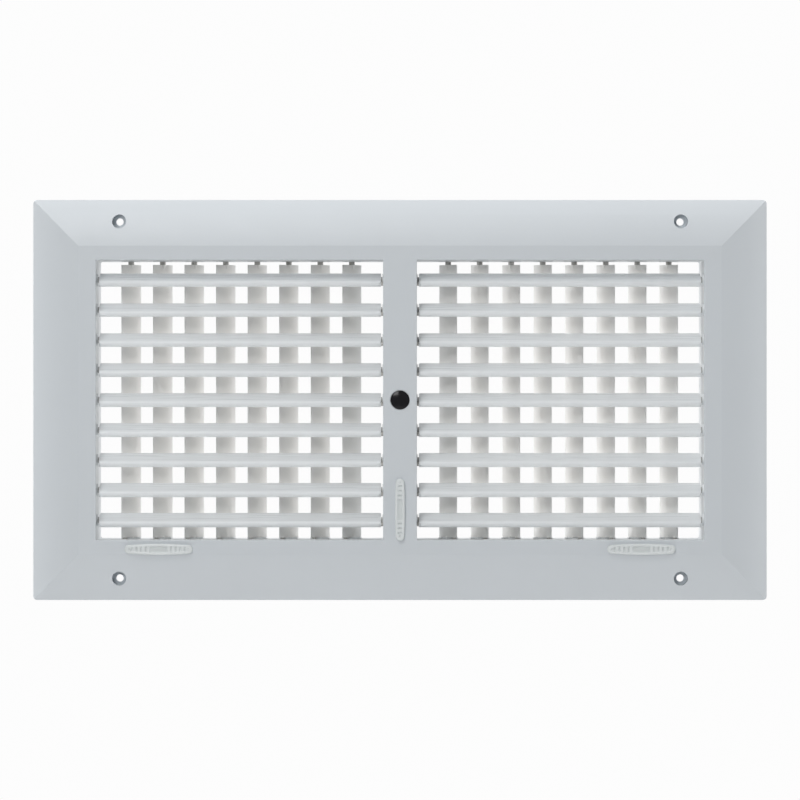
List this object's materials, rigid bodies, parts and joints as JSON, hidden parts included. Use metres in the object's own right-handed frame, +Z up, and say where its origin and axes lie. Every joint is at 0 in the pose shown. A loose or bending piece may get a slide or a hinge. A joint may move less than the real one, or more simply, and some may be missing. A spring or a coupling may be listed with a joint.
{
  "type": "louvred air grille",
  "caption": "Rectangular wall air grille with a bevelled flange, two windows, tilting louvres in front, swinging vanes behind, and thumb sliders.",
  "frame": {"origin": "centre of the wall-screw pattern, in the plane of the wall", "axes": "+X to the right seen from the room, +Y into the wall along the duct, +Z up"},
  "size_m": [0.55, 0.0591, 0.3],
  "materials": {
    "frame_plastic": "satin moulded ABS, off-white",
    "collar_plastic": "satin moulded ABS, off-white",
    "rail_plastic": "satin moulded ABS, off-white",
    "louvre_plastic": "semi-gloss extruded ABS, off-white",
    "vane_plastic": "satin extruded ABS, off-white",
    "slider_plastic": "satin moulded ABS, off-white",
    "link_plastic": "natural acetal, off-white",
    "cap_black": "polished black",
    "screw_steel": "zinc-plated steel"
  },
  "bodies": {
    "housing": {"front_frame": "frame_plastic", "duct_collar": "collar_plastic", "collar_screws": "screw_steel", "centre_cap": "cap_black", "louvre_rail_left": "rail_plastic", "mullion_rail_left": "rail_plastic", "vane_rail_top_left": "rail_plastic", "vane_rail_bottom_left": "rail_plastic", "louvre_rail_right": "rail_plastic", "mullion_rail_right": "rail_plastic", "vane_rail_top_right": "rail_plastic", "vane_rail_bottom_right": "rail_plastic"},
    "louvre_left_1": {"louvre_left_1": "louvre_plastic"},
    "louvre_left_2": {"louvre_left_2": "louvre_plastic"},
    "louvre_left_3": {"louvre_left_3": "louvre_plastic"},
    "louvre_left_4": {"louvre_left_4": "louvre_plastic"},
    "louvre_left_5": {"louvre_left_5": "louvre_plastic"},
    "louvre_left_6": {"louvre_left_6": "louvre_plastic"},
    "louvre_left_7": {"louvre_left_7": "louvre_plastic"},
    "louvre_left_8": {"louvre_left_8": "louvre_plastic"},
    "louvre_left_9": {"louvre_left_9": "louvre_plastic"},
    "louvre_right_1": {"louvre_right_1": "louvre_plastic"},
    "louvre_right_2": {"louvre_right_2": "louvre_plastic"},
    "louvre_right_3": {"louvre_right_3": "louvre_plastic"},
    "louvre_right_4": {"louvre_right_4": "louvre_plastic"},
    "louvre_right_5": {"louvre_right_5": "louvre_plastic"},
    "louvre_right_6": {"louvre_right_6": "louvre_plastic"},
    "louvre_right_7": {"louvre_right_7": "louvre_plastic"},
    "louvre_right_8": {"louvre_right_8": "louvre_plastic"},
    "louvre_right_9": {"louvre_right_9": "louvre_plastic"},
    "louvre_link_bar": {"louvre_link_bar": "link_plastic"},
    "louvre_slider_set": {"louvre_slider": "slider_plastic", "louvre_slider_clip": "link_plastic"},
    "vane_left_1": {"vane_left_1": "vane_plastic"},
    "vane_left_2": {"vane_left_2": "vane_plastic"},
    "vane_left_3": {"vane_left_3": "vane_plastic"},
    "vane_left_4": {"vane_left_4": "vane_plastic"},
    "vane_left_5": {"vane_left_5": "vane_plastic"},
    "vane_left_6": {"vane_left_6": "vane_plastic"},
    "vane_left_7": {"vane_left_7": "vane_plastic"},
    "vane_left_8": {"vane_left_8": "vane_plastic"},
    "vane_link_bar_left": {"vane_link_bar_left": "link_plastic"},
    "vane_slider_left_set": {"vane_slider_left": "slider_plastic", "vane_slider_clip_left": "link_plastic"},
    "vane_right_1": {"vane_right_1": "vane_plastic"},
    "vane_right_2": {"vane_right_2": "vane_plastic"},
    "vane_right_3": {"vane_right_3": "vane_plastic"},
    "vane_right_4": {"vane_right_4": "vane_plastic"},
    "vane_right_5": {"vane_right_5": "vane_plastic"},
    "vane_right_6": {"vane_right_6": "vane_plastic"},
    "vane_right_7": {"vane_right_7": "vane_plastic"},
    "vane_right_8": {"vane_right_8": "vane_plastic"},
    "vane_link_bar_right": {"vane_link_bar_right": "link_plastic"},
    "vane_slider_right_set": {"vane_slider_right": "slider_plastic", "vane_slider_clip_right": "link_plastic"}
  },
  "joints": [
    {"name": "louvre_left_1_pivot", "type": "hinge", "parent": "housing", "child": "louvre_left_1", "pos_m": [-0.1198, -0.004, 0.09], "axis": [1, 0, 0], "range_deg": [-75, 15]},
    {"name": "louvre_left_2_pivot", "type": "hinge", "parent": "housing", "child": "louvre_left_2", "pos_m": [-0.1198, -0.004, 0.0675], "axis": [1, 0, 0], "range_deg": [-75, 15]},
    {"name": "louvre_left_3_pivot", "type": "hinge", "parent": "housing", "child": "louvre_left_3", "pos_m": [-0.1198, -0.004, 0.045], "axis": [1, 0, 0], "range_deg": [-75, 15]},
    {"name": "louvre_left_4_pivot", "type": "hinge", "parent": "housing", "child": "louvre_left_4", "pos_m": [-0.1198, -0.004, 0.0225], "axis": [1, 0, 0], "range_deg": [-75, 15]},
    {"name": "louvre_tilt", "type": "hinge", "parent": "housing", "child": "louvre_left_5", "pos_m": [-0.1198, -0.004, 0], "axis": [1, 0, 0], "range_deg": [-75, 15]},
    {"name": "louvre_left_6_pivot", "type": "hinge", "parent": "housing", "child": "louvre_left_6", "pos_m": [-0.1198, -0.004, -0.0225], "axis": [1, 0, 0], "range_deg": [-75, 15]},
    {"name": "louvre_left_7_pivot", "type": "hinge", "parent": "housing", "child": "louvre_left_7", "pos_m": [-0.1198, -0.004, -0.045], "axis": [1, 0, 0], "range_deg": [-75, 15]},
    {"name": "louvre_left_8_pivot", "type": "hinge", "parent": "housing", "child": "louvre_left_8", "pos_m": [-0.1198, -0.004, -0.0675], "axis": [1, 0, 0], "range_deg": [-75, 15]},
    {"name": "louvre_left_9_pivot", "type": "hinge", "parent": "housing", "child": "louvre_left_9", "pos_m": [-0.1198, -0.004, -0.09], "axis": [1, 0, 0], "range_deg": [-75, 15]},
    {"name": "louvre_right_1_pivot", "type": "hinge", "parent": "housing", "child": "louvre_right_1", "pos_m": [0.1198, -0.004, 0.09], "axis": [1, 0, 0], "range_deg": [-75, 15]},
    {"name": "louvre_right_2_pivot", "type": "hinge", "parent": "housing", "child": "louvre_right_2", "pos_m": [0.1198, -0.004, 0.0675], "axis": [1, 0, 0], "range_deg": [-75, 15]},
    {"name": "louvre_right_3_pivot", "type": "hinge", "parent": "housing", "child": "louvre_right_3", "pos_m": [0.1198, -0.004, 0.045], "axis": [1, 0, 0], "range_deg": [-75, 15]},
    {"name": "louvre_right_4_pivot", "type": "hinge", "parent": "housing", "child": "louvre_right_4", "pos_m": [0.1198, -0.004, 0.0225], "axis": [1, 0, 0], "range_deg": [-75, 15]},
    {"name": "louvre_right_5_pivot", "type": "hinge", "parent": "housing", "child": "louvre_right_5", "pos_m": [0.1198, -0.004, 0], "axis": [1, 0, 0], "range_deg": [-75, 15]},
    {"name": "louvre_right_6_pivot", "type": "hinge", "parent": "housing", "child": "louvre_right_6", "pos_m": [0.1198, -0.004, -0.0225], "axis": [1, 0, 0], "range_deg": [-75, 15]},
    {"name": "louvre_right_7_pivot", "type": "hinge", "parent": "housing", "child": "louvre_right_7", "pos_m": [0.1198, -0.004, -0.045], "axis": [1, 0, 0], "range_deg": [-75, 15]},
    {"name": "louvre_right_8_pivot", "type": "hinge", "parent": "housing", "child": "louvre_right_8", "pos_m": [0.1198, -0.004, -0.0675], "axis": [1, 0, 0], "range_deg": [-75, 15]},
    {"name": "louvre_right_9_pivot", "type": "hinge", "parent": "housing", "child": "louvre_right_9", "pos_m": [0.1198, -0.004, -0.09], "axis": [1, 0, 0], "range_deg": [-75, 15]},
    {"name": "louvre_link_bar_pivot", "type": "hinge", "parent": "louvre_left_5", "child": "louvre_link_bar", "pos_m": [0, -0.0092, -0.003], "axis": [1, 0, 0], "range_deg": [-15, 75]},
    {"name": "louvre_slider_slide", "type": "slide", "parent": "housing", "child": "louvre_slider_set", "axis": [0, 0, 1], "range_m": [-0.00146, 0.0073]},
    {"name": "vane_left_1_pivot", "type": "hinge", "parent": "housing", "child": "vane_left_1", "pos_m": [-0.20318, 0.0205, 0], "axis": [0, 0, 1], "range_deg": [-4, 106]},
    {"name": "vane_left_2_pivot", "type": "hinge", "parent": "housing", "child": "vane_left_2", "pos_m": [-0.17936, 0.0205, 0], "axis": [0, 0, 1], "range_deg": [-4, 106]},
    {"name": "vane_left_3_pivot", "type": "hinge", "parent": "housing", "child": "vane_left_3", "pos_m": [-0.15553, 0.0205, 0], "axis": [0, 0, 1], "range_deg": [-4, 106]},
    {"name": "vane_swing_left", "type": "hinge", "parent": "housing", "child": "vane_left_4", "pos_m": [-0.13171, 0.0205, 0], "axis": [0, 0, 1], "range_deg": [-4, 106]},
    {"name": "vane_left_5_pivot", "type": "hinge", "parent": "housing", "child": "vane_left_5", "pos_m": [-0.10789, 0.0205, 0], "axis": [0, 0, 1], "range_deg": [-4, 106]},
    {"name": "vane_left_6_pivot", "type": "hinge", "parent": "housing", "child": "vane_left_6", "pos_m": [-0.08407, 0.0205, 0], "axis": [0, 0, 1], "range_deg": [-4, 106]},
    {"name": "vane_left_7_pivot", "type": "hinge", "parent": "housing", "child": "vane_left_7", "pos_m": [-0.06024, 0.0205, 0], "axis": [0, 0, 1], "range_deg": [-4, 106]},
    {"name": "vane_left_8_pivot", "type": "hinge", "parent": "housing", "child": "vane_left_8", "pos_m": [-0.03642, 0.0205, 0], "axis": [0, 0, 1], "range_deg": [-4, 106]},
    {"name": "vane_link_bar_left_pivot", "type": "hinge", "parent": "vane_left_4", "child": "vane_link_bar_left", "pos_m": [-0.13637, 0.01672, -0.1087], "axis": [0, 0, 1], "range_deg": [-106, 4]},
    {"name": "vane_slider_left_slide", "type": "slide", "parent": "housing", "child": "vane_slider_left_set", "axis": [1, 0, 0], "range_m": [-0.00037, 0.00977]},
    {"name": "vane_right_1_pivot", "type": "hinge", "parent": "housing", "child": "vane_right_1", "pos_m": [0.03642, 0.0205, 0], "axis": [0, 0, 1], "range_deg": [-101, 9]},
    {"name": "vane_right_2_pivot", "type": "hinge", "parent": "housing", "child": "vane_right_2", "pos_m": [0.06024, 0.0205, 0], "axis": [0, 0, 1], "range_deg": [-101, 9]},
    {"name": "vane_right_3_pivot", "type": "hinge", "parent": "housing", "child": "vane_right_3", "pos_m": [0.08407, 0.0205, 0], "axis": [0, 0, 1], "range_deg": [-101, 9]},
    {"name": "vane_right_4_pivot", "type": "hinge", "parent": "housing", "child": "vane_right_4", "pos_m": [0.10789, 0.0205, 0], "axis": [0, 0, 1], "range_deg": [-101, 9]},
    {"name": "vane_swing_right", "type": "hinge", "parent": "housing", "child": "vane_right_5", "pos_m": [0.13171, 0.0205, 0], "axis": [0, 0, 1], "range_deg": [-101, 9]},
    {"name": "vane_right_6_pivot", "type": "hinge", "parent": "housing", "child": "vane_right_6", "pos_m": [0.15553, 0.0205, 0], "axis": [0, 0, 1], "range_deg": [-101, 9]},
    {"name": "vane_right_7_pivot", "type": "hinge", "parent": "housing", "child": "vane_right_7", "pos_m": [0.17936, 0.0205, 0], "axis": [0, 0, 1], "range_deg": [-101, 9]},
    {"name": "vane_right_8_pivot", "type": "hinge", "parent": "housing", "child": "vane_right_8", "pos_m": [0.20318, 0.0205, 0], "axis": [0, 0, 1], "range_deg": [-101, 9]},
    {"name": "vane_link_bar_right_pivot", "type": "hinge", "parent": "vane_right_5", "child": "vane_link_bar_right", "pos_m": [0.13603, 0.01633, -0.1087], "axis": [0, 0, 1], "range_deg": [-9, 101]},
    {"name": "vane_slider_right_slide", "type": "slide", "parent": "housing", "child": "vane_slider_right_set", "axis": [1, 0, 0], "range_m": [-0.00931, 0.00083]}
  ],
  "couplings": [
    {"joint": "louvre_left_1_pivot", "follows": "louvre_tilt", "ratio": 1},
    {"joint": "louvre_left_2_pivot", "follows": "louvre_tilt", "ratio": 1},
    {"joint": "louvre_left_3_pivot", "follows": "louvre_tilt", "ratio": 1},
    {"joint": "louvre_left_4_pivot", "follows": "louvre_tilt", "ratio": 1},
    {"joint": "louvre_left_6_pivot", "follows": "louvre_tilt", "ratio": 1},
    {"joint": "louvre_left_7_pivot", "follows": "louvre_tilt", "ratio": 1},
    {"joint": "louvre_left_8_pivot", "follows": "louvre_tilt", "ratio": 1},
    {"joint": "louvre_left_9_pivot", "follows": "louvre_tilt", "ratio": 1},
    {"joint": "louvre_right_1_pivot", "follows": "louvre_tilt", "ratio": 1},
    {"joint": "louvre_right_2_pivot", "follows": "louvre_tilt", "ratio": 1},
    {"joint": "louvre_right_3_pivot", "follows": "louvre_tilt", "ratio": 1},
    {"joint": "louvre_right_4_pivot", "follows": "louvre_tilt", "ratio": 1},
    {"joint": "louvre_right_5_pivot", "follows": "louvre_tilt", "ratio": 1},
    {"joint": "louvre_right_6_pivot", "follows": "louvre_tilt", "ratio": 1},
    {"joint": "louvre_right_7_pivot", "follows": "louvre_tilt", "ratio": 1},
    {"joint": "louvre_right_8_pivot", "follows": "louvre_tilt", "ratio": 1},
    {"joint": "louvre_right_9_pivot", "follows": "louvre_tilt", "ratio": 1},
    {"joint": "louvre_link_bar_pivot", "follows": "louvre_tilt", "ratio": -1},
    {"joint": "louvre_slider_slide", "follows": "louvre_tilt", "m_per_rad": -0.00558},
    {"joint": "vane_left_1_pivot", "follows": "vane_swing_left", "ratio": 1},
    {"joint": "vane_left_2_pivot", "follows": "vane_swing_left", "ratio": 1},
    {"joint": "vane_left_3_pivot", "follows": "vane_swing_left", "ratio": 1},
    {"joint": "vane_left_5_pivot", "follows": "vane_swing_left", "ratio": 1},
    {"joint": "vane_left_6_pivot", "follows": "vane_swing_left", "ratio": 1},
    {"joint": "vane_left_7_pivot", "follows": "vane_swing_left", "ratio": 1},
    {"joint": "vane_left_8_pivot", "follows": "vane_swing_left", "ratio": 1},
    {"joint": "vane_link_bar_left_pivot", "follows": "vane_swing_left", "ratio": -1},
    {"joint": "vane_slider_left_slide", "follows": "vane_swing_left", "m_per_rad": 0.00528},
    {"joint": "vane_right_1_pivot", "follows": "vane_swing_right", "ratio": 1},
    {"joint": "vane_right_2_pivot", "follows": "vane_swing_right", "ratio": 1},
    {"joint": "vane_right_3_pivot", "follows": "vane_swing_right", "ratio": 1},
    {"joint": "vane_right_4_pivot", "follows": "vane_swing_right", "ratio": 1},
    {"joint": "vane_right_6_pivot", "follows": "vane_swing_right", "ratio": 1},
    {"joint": "vane_right_7_pivot", "follows": "vane_swing_right", "ratio": 1},
    {"joint": "vane_right_8_pivot", "follows": "vane_swing_right", "ratio": 1},
    {"joint": "vane_link_bar_right_pivot", "follows": "vane_swing_right", "ratio": -1},
    {"joint": "vane_slider_right_slide", "follows": "vane_swing_right", "m_per_rad": 0.00528}
  ]
}
